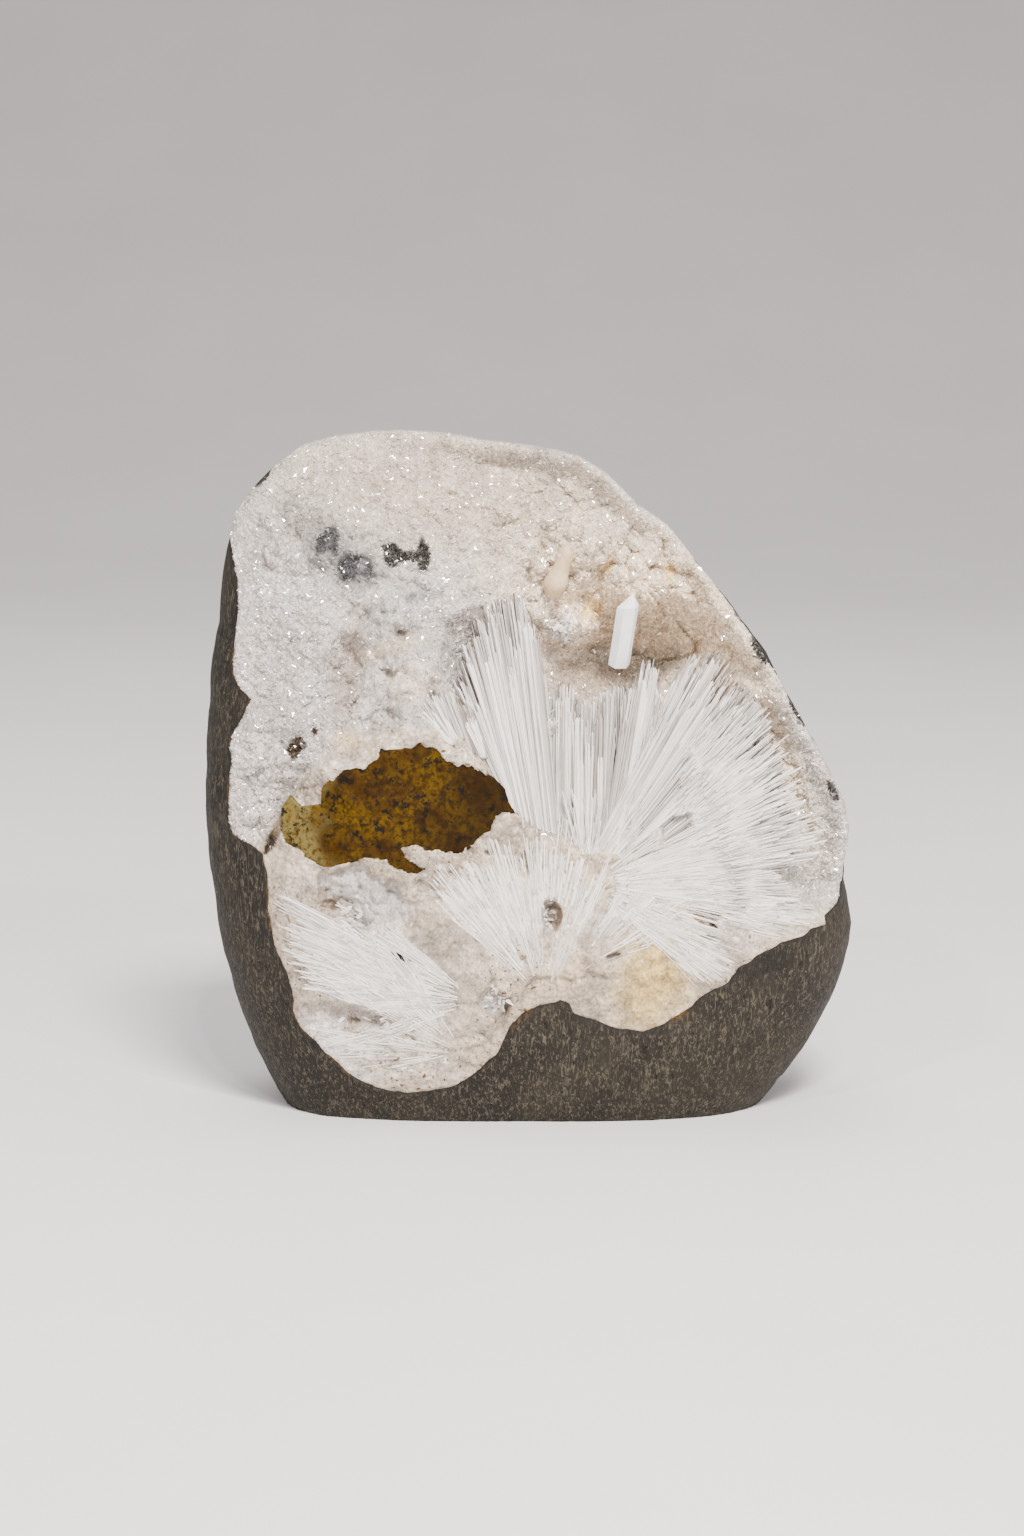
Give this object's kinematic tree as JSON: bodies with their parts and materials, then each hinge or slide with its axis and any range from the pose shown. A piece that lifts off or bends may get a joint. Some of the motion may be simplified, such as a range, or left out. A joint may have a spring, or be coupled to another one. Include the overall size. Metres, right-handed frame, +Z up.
{
  "type": "scolecite geode",
  "caption": "Ground freestanding basalt geode, its open face lined with a druse of pale quartz and sprays of white scolecite needles, with one olive-brown window",
  "frame": {"origin": "bounding box bottom centre: middle of the flat base", "axes": "+X right along the face, -Y out of the open face, +Z up"},
  "size_m": [0.1262, 0.0651, 0.1304],
  "materials": {
    "basalt": "ground, fine scratches",
    "crystal": "sugary and silky crystal",
    "olive": "glossy, ground"
  },
  "bodies": {
    "root": {"basalt_block": "basalt", "crystal_crust": "crystal", "olive_window": "olive"}
  },
  "joints": []
}
